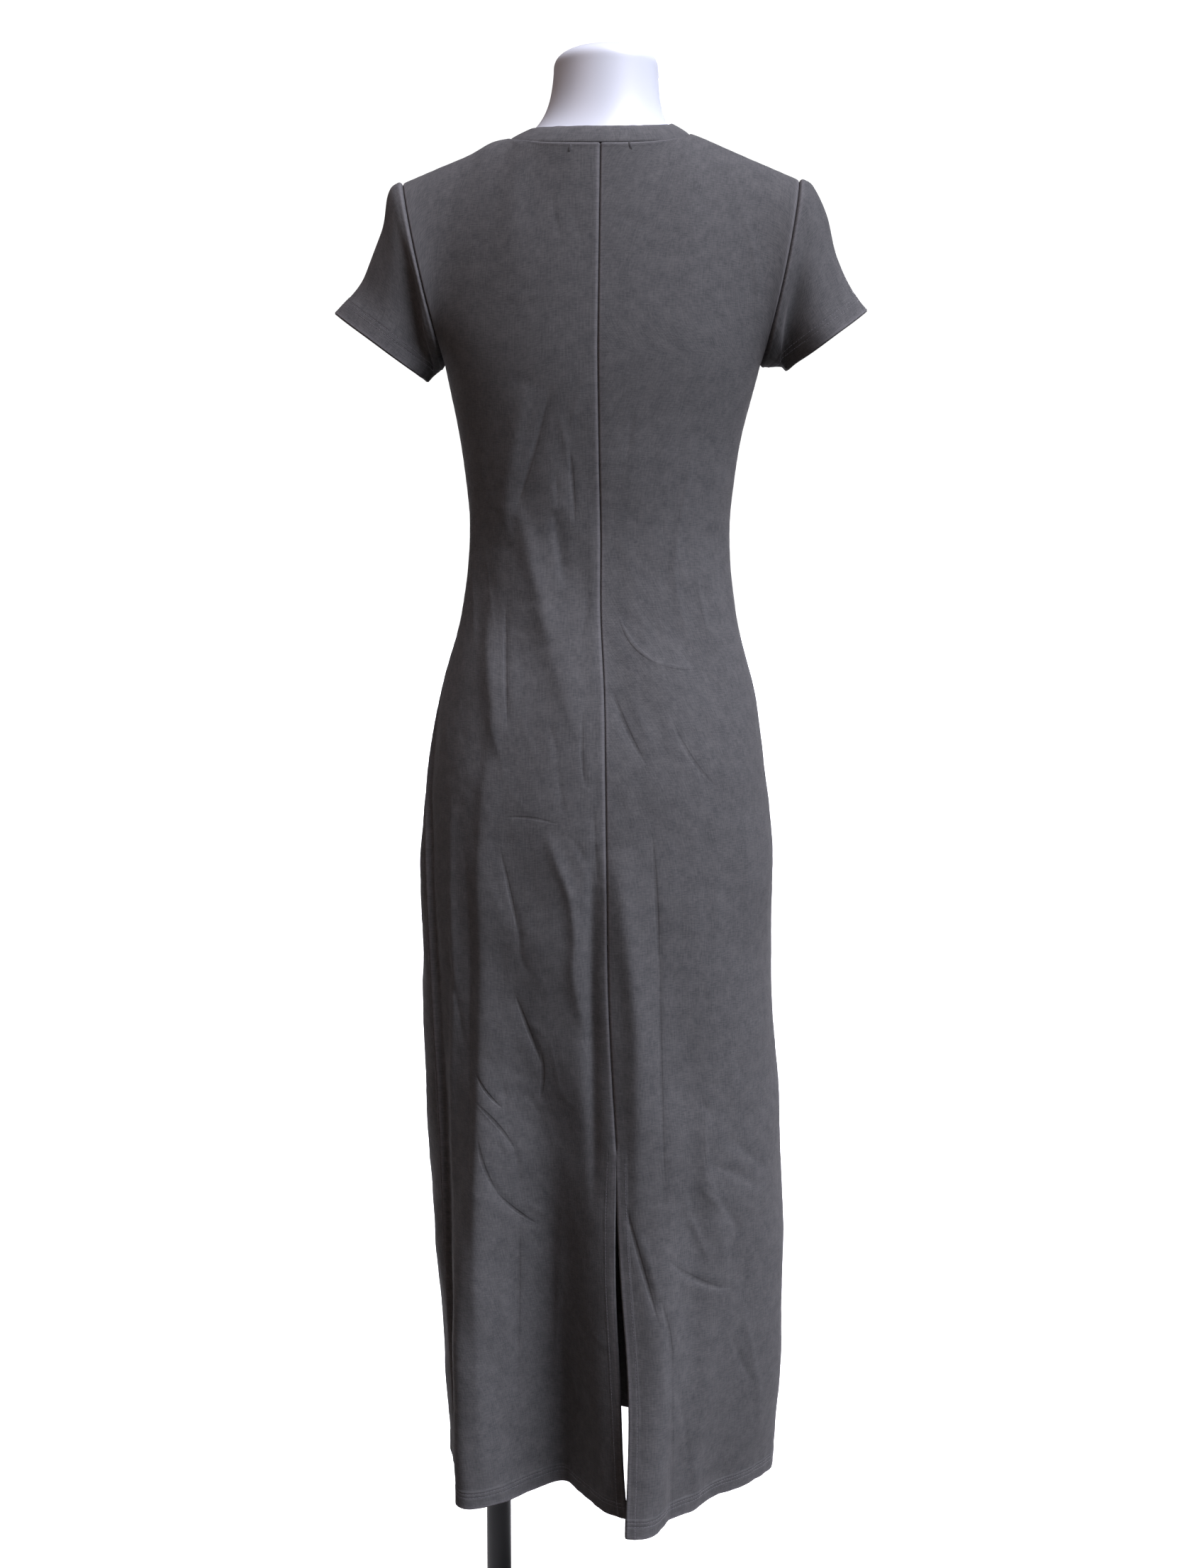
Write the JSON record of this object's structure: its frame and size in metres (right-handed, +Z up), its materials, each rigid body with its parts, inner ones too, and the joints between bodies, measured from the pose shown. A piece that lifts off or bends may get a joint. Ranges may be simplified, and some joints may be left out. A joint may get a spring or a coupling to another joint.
{
  "type": "t-shirt maxi dress on a dress form",
  "caption": "Ankle-length short-sleeved jersey dress with a crew neckband, centre-back seam and vent, worn by a smooth limbless dress form on a pole and round base plate.",
  "frame": {"origin": "centre of the base plate's underside, on the floor", "axes": "+Z up; the front of the dress faces -Y and its back +Y; +X is the wearer's left"},
  "size_m": [0.5144, 0.36, 1.633],
  "materials": {
    "jersey": "dark grey cotton interlock knit, matt with a soft sheen, fine vertical wales",
    "form_white": "smooth white shell, satin",
    "stand_black": "black powder coat"
  },
  "bodies": {
    "root": {"front": "jersey", "back_left": "jersey", "back_right": "jersey", "sleeve_left": "jersey", "sleeve_right": "jersey", "neckband": "jersey", "form_torso": "form_white", "stand_flange": "stand_black", "stand_pole": "stand_black", "stand_socket": "stand_black", "stand_base": "stand_black"}
  },
  "joints": []
}
